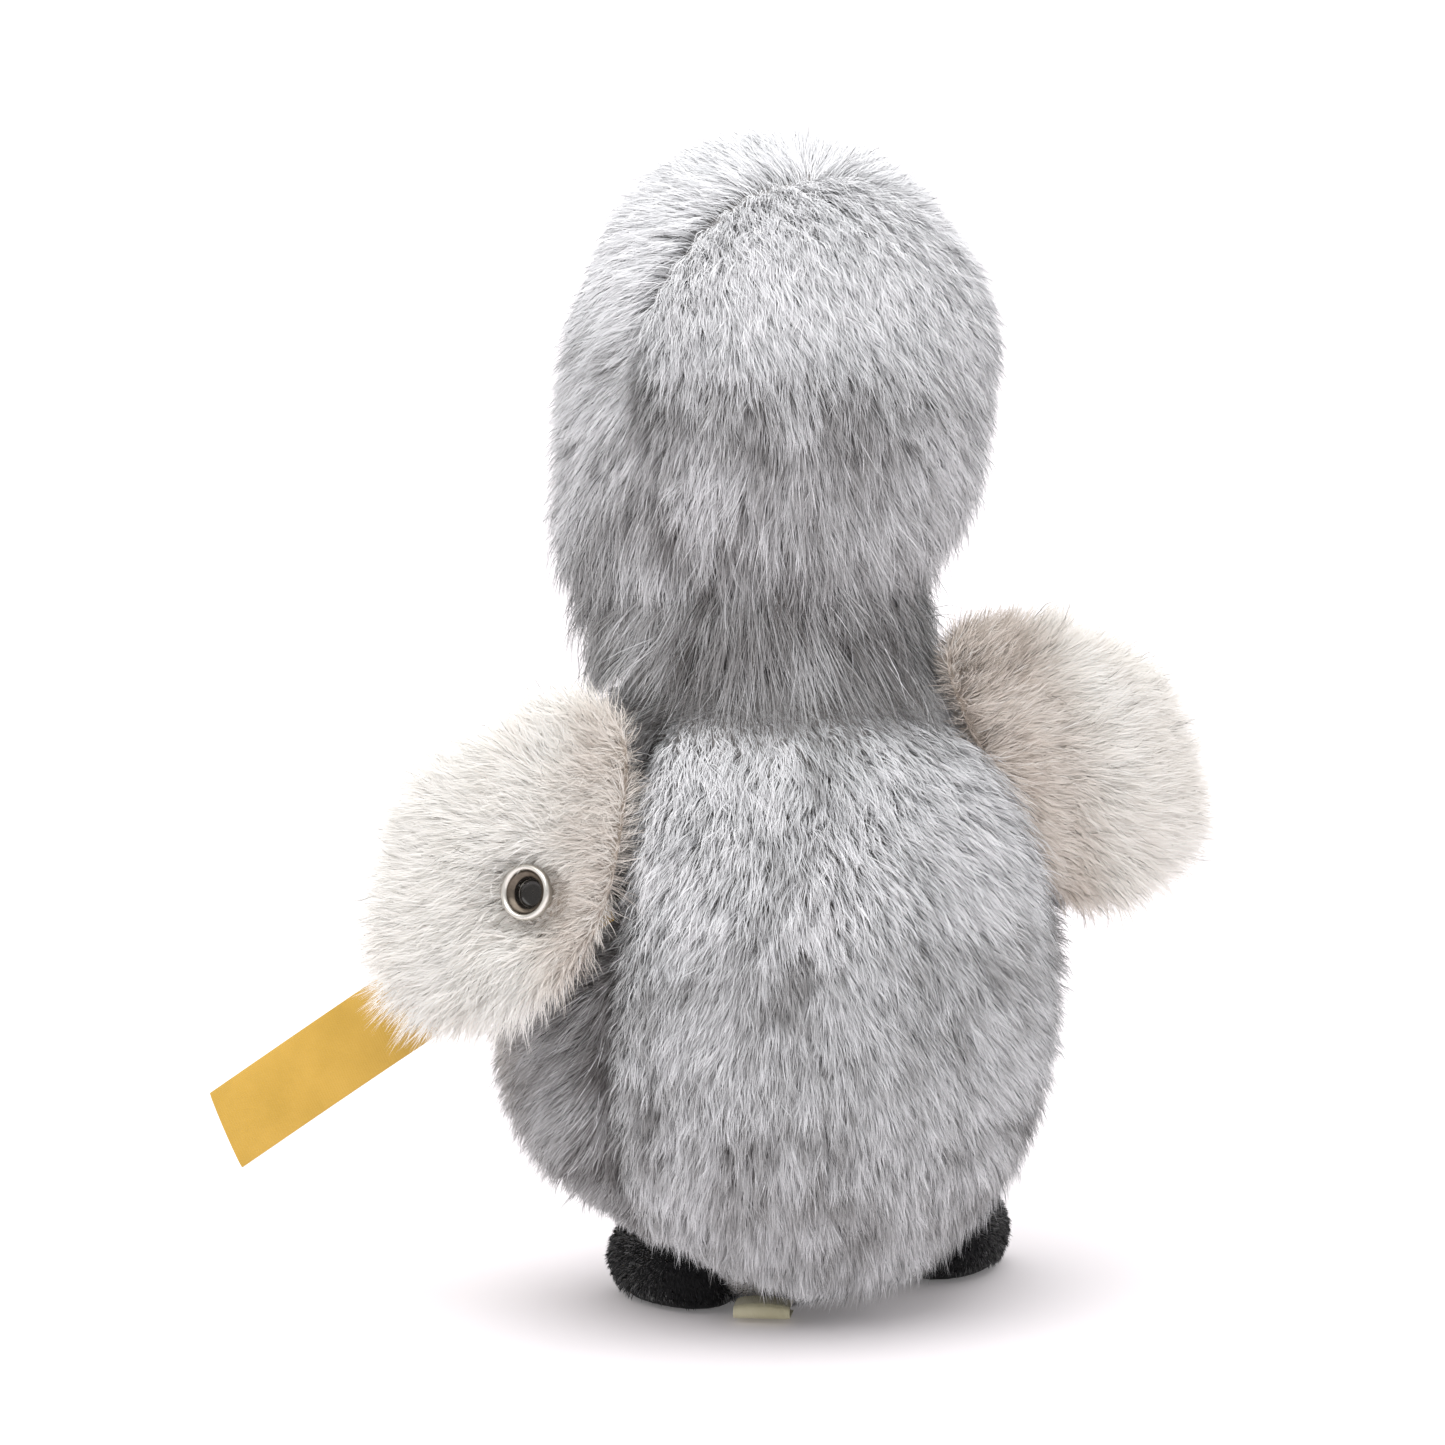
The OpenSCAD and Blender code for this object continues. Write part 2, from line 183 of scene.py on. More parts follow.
def cloth_material(name, dark, light, scale, bump=0.3):
    """Backing cloth: two colours mixed by noise, with a fine knitted bump."""
    material, tree, shader, place, _ = drifting_material(name, dark, light, scale, 6, (0.35, 0.65))
    knit = add_node(tree, "TexVoronoi", {"Scale": 1600})
    tree.links.new(place, knit.inputs["Vector"])
    add_bump(tree, shader, knit.outputs["Distance"], bump, 0.0002)
    set_inputs(shader, {"Roughness": 0.9})
    return material


def hard_material(name, dark, light, rough, scale=900, metallic=0.0, bump=0.05):
    """Metal or plastic: two close colours and a roughness that varies, with faint marks."""
    material, tree, shader, _, grain = drifting_material(name, dark, light, scale, 4)
    spread = add_node(tree, "MapRange", {"To Min": rough[0], "To Max": rough[1]})
    tree.links.new(grain, spread.inputs["Value"])
    tree.links.new(spread.outputs["Result"], shader.inputs["Roughness"])
    add_bump(tree, shader, grain, bump, 0.0001)
    set_inputs(shader, {"Metallic": metallic})
    return material


def satin_material(name, dark, light):
    """Woven satin ribbon: fine ribs across it and along it, a tint that drifts, and a silky sheen."""
    material, tree, shader, place, _ = drifting_material(name, dark, light, 140, 3, (0.3, 0.7))
    both = add_node(tree, "Math", {})
    for into, direction, scale, distortion in zip(both.inputs, "XY", (900, 1300), (1.5, 0)):
        ribs = add_node(tree, "TexWave", {"Scale": scale, "Distortion": distortion})
        ribs.bands_direction = direction
        tree.links.new(place, ribs.inputs["Vector"])
        tree.links.new(ribs.outputs["Fac"], into)
    add_bump(tree, shader, both.outputs["Value"], 0.35, 0.00006)
    set_inputs(shader, {"Roughness": 0.42, "Sheen Weight": 0.2})
    return material


# ---- Noise ----
LATTICE_SIDE = 24


def noise(points, scale, seed):
    """Smooth value noise from 0 to 1 at points, with cells of the given size."""
    lattice = np.random.default_rng(seed).random((LATTICE_SIDE,) * 3)
    p = points / scale + 1000.0
    cell = np.floor(p).astype(int)
    f = p - cell
    f = f * f * (3 - 2 * f)
    total = np.zeros(len(points))
    for corner in np.ndindex(2, 2, 2):
        x, y, z = np.abs(1 - np.array(corner) - f).T
        at = (cell + corner) % LATTICE_SIDE
        total += x * y * z * lattice[at[:, 0], at[:, 1], at[:, 2]]
    return total


def noise_vectors(points, scale, seed):
    """Three noises from -1 to 1."""
    return np.stack([noise(points, scale, seed + k) * 2 - 1 for k in range(3)], axis=1)


# ---- Mesh helpers ----
SEAM_HOLD = 3.0 * MM  # how far a sewn seam holds its cover in
PUFF_FRAMES = 20


def unit(v):
    return v / np.maximum(np.linalg.norm(v, axis=-1, keepdims=True), 1e-12)


def flat_to(v, normals):
    """The part of v that lies along the surface, as unit vectors."""
    return unit(v - normals * (v * normals).sum(axis=1, keepdims=True))


def smoothstep(t):
    t = np.clip(t, 0, 1)
    return t * t * (3 - 2 * t)


def bell(distance, width):
    """1 at no distance, falling away on both sides."""
    return np.exp(-((distance / width) ** 2))


def ramp(x, start, over):
    """0 up to start, rising to 1 over the next millimetres."""
    return smoothstep((x - start * MM) / (over * MM))


def above(p, level, over):
    """0 below a level, rising to 1 over the millimetres above it."""
    return ramp(p[:, 2], level, over)


def below(p, level, over):
    """0 above a level, rising to 1 over the millimetres below it."""
    return ramp(-p[:, 2], -level, over)


def off_axis(p, origin, axis):
    """Distance of points from the line through origin along axis."""
    q = p - origin
    return np.linalg.norm(q - np.outer(q @ axis, axis), axis=1)


def unit_ball(detail):
    """Vertices and triangles of a ball of even triangles."""
    ball = bmesh.new()
    bmesh.ops.create_icosphere(ball, subdivisions=detail, radius=1)
    points = np.array([v.co[:] for v in ball.verts])
    faces = np.array([[v.index for v in f.verts] for f in ball.faces])
    ball.free()
    return unit(points), faces


def vertex_normals(points, faces):
    a, b, c = points[faces.T]
    flat = np.cross(b - a, c - a)
    total = np.zeros_like(points)
    for k in range(3):
        np.add.at(total, faces[:, k], flat)
    return unit(total)


def add_mesh(name, points, faces, materials):
    mesh = bpy.data.meshes.new(name)
    mesh.from_pydata(points.tolist(), [], faces.tolist() if isinstance(faces, np.ndarray) else faces)
    for material in materials:
        mesh.materials.append(material)
    mesh.shade_smooth()
    return add_object(name, mesh)


def tree_of(points):
    tree = kdtree.KDTree(len(points))
    for i, p in enumerate(points.tolist()):
        tree.insert(p, i)
    tree.balance()
    return tree


def puffing(form, seam_distance, cap):
    """Blows a cover out with Cloth between its sewn seams, and returns how far it moves at given points.

    form is a coarse mesh, seam_distance says how far its points are from a seam, and cap is how far a point
    may move."""
    points, faces = form
    cover = add_mesh("puffing", points, faces, [])
    seams = cover.vertex_groups.new(name="seams")
    for i, pinned in enumerate(bell(seam_distance, SEAM_HOLD).tolist()):
        seams.add([i], pinned, "REPLACE")
    cloth = cover.modifiers.new("Cloth", "CLOTH")
    cloth.settings.quality = 4
    cloth.settings.mass = 0.02
    cloth.settings.use_pressure = True
    cloth.settings.uniform_pressure_force = 4
    cloth.settings.vertex_group_mass = "seams"
    cloth.settings.effector_weights.gravity = 0
    cloth.collision_settings.use_collision = False
    cloth.point_cache.frame_start = 1
    cloth.point_cache.frame_end = PUFF_FRAMES
    for number in range(1, PUFF_FRAMES + 1):
        bpy.context.scene.frame_set(number)
    blown = cover.evaluated_get(bpy.context.evaluated_depsgraph_get()).data
    after = np.empty(len(points) * 3)
    blown.vertices.foreach_get("co", after)
    moved = after.reshape(-1, 3) - points
    far = np.linalg.norm(moved, axis=1, keepdims=True)
    moved *= np.tanh(far / cap) * cap / np.maximum(far, 1e-9)
    bpy.data.objects.remove(cover)
    bpy.context.scene.frame_set(1)
    tree = tree_of(points)

    def field(p):
        near = [tree.find_n(q, 4) for q in p.tolist()]
        index = np.array([[hit[1] for hit in hits] for hits in near])
        weight = 1 / (np.array([[hit[2] for hit in hits] for hits in near]) + 0.2 * MM)
        return (moved[index] * weight[:, :, None]).sum(axis=1) / weight.sum(axis=1, keepdims=True)
    return field


def part_of(points, faces, keep):
    """The faces that keep marks, with only the vertices they use."""
    chosen = faces[keep]
    used, index = np.unique(chosen, return_inverse=True)
    return points[used], index.reshape(chosen.shape)


# ---- Fur ----
LEVELS = 4  # rows of vertices in a strand: three pairs and a tip
WIDTH_SHARE = (1.0, 1.0, 0.72)  # width at each pair, against the strand's own


def sample_surface(points, faces, normals, count, rng):
    """Evenly spread roots on a mesh, with their normals."""
    a, b, c = points[faces.T]
    areas = np.linalg.norm(np.cross(b - a, c - a), axis=1)
    ladder = np.cumsum(areas) / areas.sum()
    pick = np.searchsorted(ladder, (np.arange(count) + rng.random(count)) / count)
    pick = np.minimum(pick, len(faces) - 1)
    u, v = rng.random(count), rng.random(count)
    over = u + v > 1
    u[over], v[over] = 1 - u[over], 1 - v[over]
    share = np.stack([1 - u - v, u, v], axis=1)[:, :, None]
    roots = (points[faces[pick]] * share).sum(axis=1)
    return roots, unit((normals[faces[pick]] * share).sum(axis=1))


def nearest(guides, points):
    """Index of the nearest guide to each point."""
    tree = tree_of(guides)
    return np.array([tree.find(p)[1] for p in points.tolist()])


def strand_rows(roots, normals, along, length, lift, droop):
    """Centre line of every strand: LEVELS points, leaving the skin at lift[0] and lying down to lift[-1]."""
    rows = [roots]
    step = length[:, None] / (LEVELS - 1)
    for k in range(LEVELS - 1):
        angle = lift[k][:, None]
        way = np.cos(angle) * normals + np.sin(angle) * along
        way = unit(way - UP * droop * (k + 0.5) / (LEVELS - 1))
        rows.append(rows[-1] + way * step)
    return rows


def fur(name, surface, count, length, comb, tone_of, tones, seed, width=0.000095, lift=(16, 38, 58),
        clump=0.36, per_clump=9, droop=0.15, length_jitter=0.22, wild=0.2, turn_spread=0.26,
        segment_tone=(-0.15, -0.02, 0.06), lay=None, root_shade=None, keep_off=None):
    """A pile of strands on a skin. comb gives the lie at points, tone_of a tone from 0 to 1,
    lay the degrees by which the pile lies flatter there, root_shade how much darker its roots are, and
    keep_off moves points out of a neighbour."""
    points, faces = surface
    rng = np.random.default_rng(seed)
    normals = vertex_normals(points, faces)
    roots, up = sample_surface(points, faces, normals, count, rng)
    lie = flat_to(comb(roots, up), up)
    lengths = length(roots) if callable(length) else np.full(count, length)
    keep = lengths > 0.0004
    roots, up, lie, lengths = roots[keep], up[keep], lie[keep], lengths[keep]
    count = len(roots)

    flatter = np.radians(lay(roots)) if lay else np.zeros(count)
    guide_count = max(8, count // per_clump)
    guide = rng.choice(count, guide_count, replace=False)
    owner = nearest(roots[guide], roots)
    guide_turn = rng.normal(0, turn_spread, guide_count)
    guide_lift = rng.normal(0, math.radians(7), guide_count)
    guide_long = rng.normal(1, 0.10, guide_count)

    def comb_out(index, owners, own_turn, lift_spread):
        side = np.cross(up[index], lie[index])
        turn = guide_turn[owners] + rng.normal(0, own_turn, len(index))
        along = unit(lie[index] * np.cos(turn)[:, None] + side * np.sin(turn)[:, None])
        tip = rng.normal(0, lift_spread, len(index)) + guide_lift[owners]
        angles = [np.radians(a) + flatter[index] + tip * (0.6 + 0.2 * k) for k, a in enumerate(lift)]
        long = lengths[index] * guide_long[owners]
        return along, angles, long

    every = np.arange(count)
    along, angles, long = comb_out(every, owner, wild, math.radians(8))
    long = long * np.clip(rng.normal(1, length_jitter, count), 0.45, 1.35)
    base = roots - up * 0.0003
    rows = strand_rows(base, up, along, long, angles, droop)
    g_along, g_angles, g_long = comb_out(guide, np.arange(guide_count), 0, 0)
    g_rows = strand_rows(base[guide], up[guide], g_along, g_long, g_angles, droop)
    for k, pull in enumerate((0, 0.25 * clump, 0.65 * clump, clump)):
        strength = pull * rng.uniform(0.6, 1.2, count)[:, None]
        rows[k] = rows[k] + (g_rows[k][owner] - rows[k]) * np.clip(strength, 0, 0.95)
        if keep_off and k:
            rows[k] = keep_off(rows[k])
        rows[k][:, 2] = np.maximum(rows[k][:, 2], 0.2 * MM)

    axis = unit(rows[-1] - rows[0])
    side = unit(np.cross(axis, up))
    roll = rng.normal(0, 0.8, count)[:, None]
    side = side * np.cos(roll) + np.cross(axis, side) * np.sin(roll)
    thick = (width * rng.uniform(0.65, 1.25, count))[:, None]
    rings = []
    for k in range(LEVELS - 1):
        half = side * thick * (WIDTH_SHARE[k] / 2)
        rings += [rows[k] - half, rows[k] + half]
    rings.append(rows[-1])
    corners = np.stack(rings, axis=1).reshape(-1, 3)

    first = (np.arange(count) * 7)[:, None]
    loops = np.concatenate([first + (0, 1, 3, 2), first + (2, 3, 5, 4), first + (4, 5, 6)], axis=1).ravel()
    starts = ((np.arange(count) * 11)[:, None] + (0, 4, 8)).ravel()
    tone = tone_of(roots) + rng.normal(0, 0.07, count)
    # Painted highlights: about 2.5% of strands take the brightest tone as glints off shiny fibres; about 1.2%
    # are darker flecks.
    odd = rng.random(count)
    tone = np.where(odd > 0.975, 1.1, np.where(odd < 0.012, tone - 0.3, tone))
    shaded = root_shade(roots) if root_shade else np.ones(count)
    slots = np.stack([tone + s * shaded for s in segment_tone], axis=1) * (len(tones) - 1)
    slots = np.clip(np.rint(slots), 0, len(tones) - 1).astype(np.int32).ravel()

    mesh = bpy.data.meshes.new(name)
    mesh.vertices.add(len(corners))
    mesh.vertices.foreach_set("co", corners.astype(np.float32).ravel())
    mesh.loops.add(len(loops))
    mesh.loops.foreach_set("vertex_index", loops.astype(np.int32))
    mesh.polygons.add(len(starts))
    mesh.polygons.foreach_set("loop_start", starts.astype(np.int32))
    for material in tones:
        mesh.materials.append(material)
    mesh.polygons.foreach_set("material_index", slots)
    mesh.update(calc_edges=True)
    mesh.shade_smooth()
    front = unit(np.cross(side, axis))
    front = unit(np.where((front * up).sum(axis=1, keepdims=True) < 0, -front, front) * 0.5 + up * 0.9)
    both_edges = [unit(front - side * 0.4), unit(front + side * 0.4)]
    shade = np.stack(both_edges * (LEVELS - 1) + [front], axis=1).reshape(-1, 3)
    mesh.normals_split_custom_set_from_vertices(shade.astype(np.float32).tolist())
    return add_object(name, mesh)


# ---- The body's form ----
def high(node):
    return np.array(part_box(node)[1])


def low(node):
    return np.array(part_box(node)[0])


SKIN_INSET = 1.3 * MM
BODY_RADIUS = high("body_back_panel")[1]
BODY_MIDDLE = 39 * MM
BODY_UP, BODY_DOWN = 45 * MM, 40.5 * MM
BODY_CROWN = 77.6 * MM  # the body's top is pressed flat under the head
BODY_FOOT = 0.5 * MM
SEAM_RADIUS = 70 * MM
SEAM_LEVEL = 43 * MM
BACK_SEAM = 13 * MM
FRONT_SEAM = 18 * MM
BASE_SEAM = 5 * MM
GROOVE_DEPTH, GROOVE_WIDTH = 1.3 * MM, 1.7 * MM
SIDE_GROOVE = 2.3 * MM


def back_seam(p):
    """Distance behind the curved seams at the flippers."""
    return np.hypot(p[:, 1] - (BACK_SEAM - SEAM_RADIUS), p[:, 2] - SEAM_LEVEL) - SEAM_RADIUS


def front_seam(p):
    """Distance in front of the curved seams beside the belly."""
    return np.hypot(p[:, 1] + (FRONT_SEAM - SEAM_RADIUS), p[:, 2] - SEAM_LEVEL) - SEAM_RADIUS


def groove(points, normals, distance, depth=GROOVE_DEPTH):
    """Pulls a skin in along a seam."""
    return points - normals * (depth * bell(distance, GROOVE_WIDTH))[:, None]


def body_form(detail=6):
    ball, faces = unit_ball(detail)
    r = BODY_RADIUS - SKIN_INSET
    rise = np.where(ball[:, 2] > 0, BODY_UP, BODY_DOWN) - SKIN_INSET
    p = np.stack([ball[:, 0] * r, ball[:, 1] * r, BODY_MIDDLE + ball[:, 2] * rise], axis=1)
    p += unit(ball) * ((noise(p, 13 * MM, 3) - 0.5) * 1.4 * MM)[:, None]
    p[:, :2] *= (1 - 0.15 * below(p, 24, 22))[:, None]
    p[:, 2] = np.clip(p[:, 2], BODY_FOOT, BODY_CROWN)
    n = vertex_normals(p, faces)
    p = groove(p, n, back_seam(p), SIDE_GROOVE)
    for distance in (front_seam(p), p[:, 2] - BASE_SEAM):
        p = groove(p, n, distance)
    p[:, 2] = np.maximum(p[:, 2], BODY_FOOT)
    return p, faces


# ---- The head's form ----
CROWN_RADIUS = high("head_back_panel")[1]
CROWN_CENTRE = np.array([0, 0, 111 * MM])
CHEEK_RADIUS = 23 * MM
CHEEK_CENTRE = np.array([0, -5 * MM, 99 * MM])
HEAD_SEAM = 9 * MM
MASK_RADIUS = 16.5 * MM
MASK_LEVEL = 102 * MM
NECK_TOP = 87 * MM
NECK_RADIUS = 16.6 * MM
NECK_BOTTOM = 79.9 * MM
NECK_Y = -2 * MM
HEM_SHARE, WALL_SHARE = 0.55, 0.45  # shares of the head's underside: inside the neck, and its flare
NECK_SHIFT = 1.6 * MM  # the head leans a little to its left over the neck
CROWN_RISE = 2.0 * MM  # the pile and the filling lift the crown above the pattern


def mask_seam(p):
    """Distance outside the round face mask; far behind the face it grows large."""
    return np.hypot(p[:, 0], p[:, 2] - MASK_LEVEL) - MASK_RADIUS + np.where(p[:, 1] > 0, 1.0, 0.0)


def head_form(detail=6):
    ball, faces = unit_ball(detail)
    axis = unit(CROWN_CENTRE - CHEEK_CENTRE)
    share = smoothstep((ball @ axis + 0.5) / 1.0)[:, None]
    centre = CHEEK_CENTRE * (1 - share) + CROWN_CENTRE * share
    radius = (CHEEK_RADIUS * (1 - share) + CROWN_RADIUS * share) - SKIN_INSET
    p = centre + ball * radius
    r_edge = math.sqrt((CHEEK_RADIUS - SKIN_INSET) ** 2 - (CHEEK_CENTRE[2] - NECK_TOP) ** 2)
    q = p[:, :2] - (0, NECK_Y)
    far = np.linalg.norm(q, axis=1)
    way = q / np.maximum(far, 1e-9)[:, None]
    off = CHEEK_CENTRE[1] - NECK_Y
    edge = np.maximum(way[:, 1] * off + np.sqrt(r_edge**2 - (way[:, 0] * off) ** 2), NECK_RADIUS)
    t = far / edge
    wall = (t - HEM_SHARE) / WALL_SHARE
    lower = p[:, 2] < NECK_TOP
    flare = NECK_RADIUS + (edge - NECK_RADIUS) * smoothstep(wall)
    out = np.where(t > HEM_SHARE, flare, NECK_RADIUS * t / HEM_SHARE)
    level = NECK_BOTTOM + (NECK_TOP - NECK_BOTTOM) * np.clip(wall, 0, 1)
    p[lower, 0] = (way[:, 0] * out)[lower]
    p[lower, 1] = (way[:, 1] * out)[lower] + NECK_Y
    p[lower, 2] = level[lower]
    p[:, 2] += CROWN_RISE * above(p, 116, 16)
    body = ~lower
    short = np.maximum(NECK_RADIUS - far, 0) * smoothstep((NECK_TOP + 13 * MM - p[:, 2]) / (13 * MM))
    p[body, :2] += (way * short[:, None])[body]
    p[body] += ball[body] * ((noise(p[body], 12 * MM, 9) - 0.5) * 1.2 * MM)[:, None]
    p[:, 0] += NECK_SHIFT * below(p, 97, 14)
    n = vertex_normals(p, faces)
    crown = above(p, 112, 10)
    p = groove(p, n, np.hypot(p[:, 1] - HEAD_SEAM, 1.2 * GROOVE_WIDTH * crown))
    return groove(p, n, mask_seam(p)), faces


# ---- Flippers ----
SWEEPS = {"left": math.radians(73), "right": math.radians(57)}  # from straight out, towards the front
# Corners of each flipper's cloth in millimetres: along the flipper, and up the shoulder seam
OUTLINES = {
    "left": ((-2, 14), (6, 17), (12, 10.5), (22.5, 5), (24.4, -6), (24.4, -15.5),
             (19, -21.8), (12, -21.5), (-2, -13)),
    "right": ((-11, 17.5), (-7, 22.5), (4, 19.5), (12.5, 13), (23, 7.5), (25.2, -3.5),
              (25, -13), (8, -14), (-2, -13)),
}
FLIPPER_HALF = 2.7 * MM
# The right flipper's lower tone is painted shade; both flippers are the same cream cloth.
FLIPPER_TONES = {"left": 0.92, "right": 0.79}


def flipper_frame(side):
    """Origin, and unit vectors along the flipper, out of its outer face and up the shoulder seam."""
    joint = JOINTS[f"{side}_flipper_swing"]
    origin = np.array(joint["pos_m"])
    axis = unit(np.array(joint["axis"], float))
    if axis[2] < 0:
        axis = -axis
    mirror = 1 if side == "left" else -1
    radial = unit(np.array([origin[0], origin[1], 0]))
    radial = unit(radial - axis * (radial @ axis))
    sweep = SWEEPS[side]
    ahead = np.cross(radial, axis) * mirror
    along = math.cos(sweep) * radial + math.sin(sweep) * ahead
    outer = np.cross(axis, along) * mirror
    return origin, along, outer, axis


def outline_reach(side, angles):
    """The middle of a flipper's rounded outline, and the distance from there to its edge by direction."""
    edge = np.array(OUTLINES[side], float) * MM
    for _ in range(4):
        ahead = np.roll(edge, -1, axis=0)
        edge = np.stack([edge * 0.75 + ahead * 0.25, edge * 0.25 + ahead * 0.75], axis=1).reshape(-1, 2)
    middle = (edge.min(axis=0) + edge.max(axis=0)) / 2
    away = edge - middle
    turn = np.arctan2(away[:, 1], away[:, 0])
    return middle, np.interp(angles, turn, np.linalg.norm(away, axis=1), period=2 * math.pi)


def flipper_form(side, detail=5):
    """A puffed paddle in the row frame, and the same points in the flipper's own axes."""
    ball, faces = unit_ball(detail)
    if side == "right":
        faces = faces[:, ::-1]
    angle = np.arctan2(ball[:, 2], ball[:, 0])
    flat = np.hypot(ball[:, 0], ball[:, 2])
    middle, reach = outline_reach(side, angle)
    x, z = middle[0] + flat * reach * np.cos(angle), middle[1] + flat * reach * np.sin(angle)
    own = np.stack([x, ball[:, 1] * FLIPPER_HALF, z], axis=1)
    own[:, 1] *= 0.6 + 0.4 * ramp(own[:, 0], 0, 9)
    own[:, 1] += (noise(own + 0.5, 9 * MM, 17) - 0.5) * 1.0 * MM
    origin, along, outer, axis = flipper_frame(side)
    return origin + own @ np.stack([along, outer, axis]), faces, own


# ---- Feet ----
FOOT_LENGTH, FOOT_WIDTH, FOOT_HEIGHT = 21 * MM, 14.5 * MM, 9.5 * MM
FOOT_PLACES = {"left": (10.5 * MM, -5.5 * MM, 2), "right": (-24 * MM, -8 * MM, -33)}


def foot_form(side, detail=5):
    """A plump velour pad with a flat sole and a rounded top."""
    ball, faces = unit_ball(detail)
    x, y, turn = FOOT_PLACES[side]
    half = FOOT_LENGTH / 2 - FOOT_WIDTH / 2
    ring = np.hypot(ball[:, 0], ball[:, 1])
    plump = ring**0.72 / np.maximum(ring, 1e-9)
    w = FOOT_WIDTH / 2 - 0.2 * MM
    across, along = ball[:, 0] * plump * w, ball[:, 1] * plump * w + np.tanh(ball[:, 1] * 2.5) * half
    p = np.stack([across, along, FOOT_HEIGHT * (0.45 + 0.55 * ball[:, 2])], axis=1)
    p += unit(ball) * ((noise(p, 6 * MM, 31) - 0.5) * 0.5 * MM)[:, None]
    p[:, 2] = np.maximum(p[:, 2], 0.3 * MM)
    a = math.radians(turn)
    spin = np.array([[math.cos(a), -math.sin(a), 0], [math.sin(a), math.cos(a), 0], [0, 0, 1]])
    return p @ spin.T + (x, y, 0), faces


# ---- Pieces ----
def dress(piece, body, slot, *nodes):
    """Puts a finished piece on its body and hides the CAD nodes that it stands for; slot is not used."""
    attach(piece, body)
    if nodes:
        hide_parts(*nodes)
    return piece


def sew(body, form, rows):
    """Padded skins on the parts of a form that the rows mark."""
    for name, node, mask, (_, backing, slot) in rows:
        skin = add_mesh(name, *part_of(*form, mask), [backing])
        dress(skin, body, slot, node)


def grow(body, form, length_of, rows, **look):
    """Piles on the parts of a form that the rows mark."""
    for name, mask, count, long, comb, tone_of, (tones, _, slot), seed in rows:
        pile = fur(name, part_of(*form, mask), count, length_of(long), comb, tone_of, tones, seed, **look)
        dress(pile, body, slot)


def lumpy(points, faces, name, share, lump, seed):
    """A loose mass of fibre inside a form: the form shrunk to a share, with lumps."""
    middle = points.mean(axis=0)
    p = middle + (points - middle) * share
    n = vertex_normals(p, faces)
    p = p + n * ((noise(p, lump, seed) - 0.6) * 1.6 * MM)[:, None]
    return add_mesh(name, p, faces, [FIBRE_FILL])


GREY_COLOURS = ((92, 88, 86), (144, 142, 142), (190, 190, 191), (228, 229, 231), (248, 248, 250))
CREAM_COLOURS = ((150, 134, 122), (210, 198, 187), (236, 228, 220), (249, 245, 239), (255, 253, 249))
WHITE_COLOURS = ((176, 174, 174), (226, 226, 228), (244, 245, 247), (254, 254, 255))
BLACK_COLOURS = ((6, 6, 8), (14, 14, 17), (26, 26, 30))
GREY_TONES = tone_ramp("grey_pile", GREY_COLOURS, 9)
CREAM_TONES = tone_ramp("cream_pile", CREAM_COLOURS, 8, glow=0.035)
WHITE_TONES = tone_ramp("white_pile", WHITE_COLOURS, 6)
BLACK_TONES = tone_ramp("black_pile", BLACK_COLOURS, 4, sheen=0.5, roughness=0.7)
GREY_BACKING = cloth_material("grey_backing", srgb(138, 134, 132), srgb(170, 167, 166), 260)
CREAM_BACKING = cloth_material("cream_backing", srgb(186, 172, 158), srgb(212, 200, 188), 260)
WHITE_BACKING = cloth_material("white_backing", srgb(176, 174, 174), srgb(204, 203, 204), 260)
BLACK_BACKING = cloth_material("black_backing", srgb(10, 10, 11), srgb(22, 22, 24), 300)
FIBRE_FILL = cloth_material("fibre_fill", srgb(226, 226, 222), srgb(246, 246, 243), 220, bump=0.6)
GREY = (GREY_TONES, GREY_BACKING, "grey_plush")
WHITE = (WHITE_TONES, WHITE_BACKING, "white_plush")
BLACK = (BLACK_TONES, BLACK_BACKING, "black_velour")


def comb_to(*way):
    """A comb that lays the pile one way everywhere."""
    return lambda p, n: np.broadcast_to(np.array(way, float), p.shape) + noise_vectors(p, 7 * MM, 61) * 0.28


def downward(p, sideways, backward):
    """Directions that lead down, with the given shares to the left and to the back."""
    return np.stack([np.broadcast_to(share, len(p)) for share in (sideways, backward, -1.0)], axis=1)


def mottle(base, fine, coarse, seed):
    """Tones that vary in streaks, longer up and down than across, and in broad patches."""
    def tone(p):
        q = p * (1, 1, 0.7)
        return base + (noise(q, 1.3 * MM, seed) - 0.5) * fine + (noise(q, 4.5 * MM, seed + 5) - 0.5) * coarse
    return tone


def head_tone(base, rise, seed):
    """The head's tones: paler over the crown and on its right side as painted light, darker towards the neck
    as painted shade under the head, and darker in the seams as painted shade.
    """
    plain = mottle(base, 0.5, 0.4, seed)

    def tone(p):
        crown = above(p, 110, 13)
        neck = below(p, 103, 20)
        seam = bell(p[:, 1] - HEAD_SEAM, 1.6 * MM) * (1 - crown)
        calm = plain(p) * (1 - 0.6 * crown) + base * 0.6 * crown
        # painted light over the crown and on the right side, painted shade towards the neck and in the seam
        right = ramp(-p[:, 0], 4, 12)
        paler = rise * crown + 0.18 * right * (1 - 0.7 * crown)
        return calm + paler - 0.26 * neck * (1 - 0.5 * right) - 0.3 * seam
    return tone


def body_tone(base, fine, coarse, seed):
    """The body's tones, with painted shade darkening the seams that run up behind the flippers."""
    plain = mottle(base, fine, coarse, seed)
    return lambda p: plain(p) - 0.4 * bell(back_seam(p), 1.9 * MM)


# ---- Body ----
ribbon_joint = JOINTS["ribbon_swing"]
RIVET_WAY = Vector(ribbon_joint["axis"]).normalized()
SHOULDER_WAY = Vector(flipper_frame("left")[3])
RIBBON_LEVEL = 4.85 * MM
RIVET_AT = Vector(ribbon_joint["pos_m"]) + RIVET_WAY * RIBBON_LEVEL
RIVET_X = RIVET_WAY.cross(SHOULDER_WAY).normalized()
DIMPLE = 2.6 * MM  # room in the body for the rivet's foot and the ribbon's end


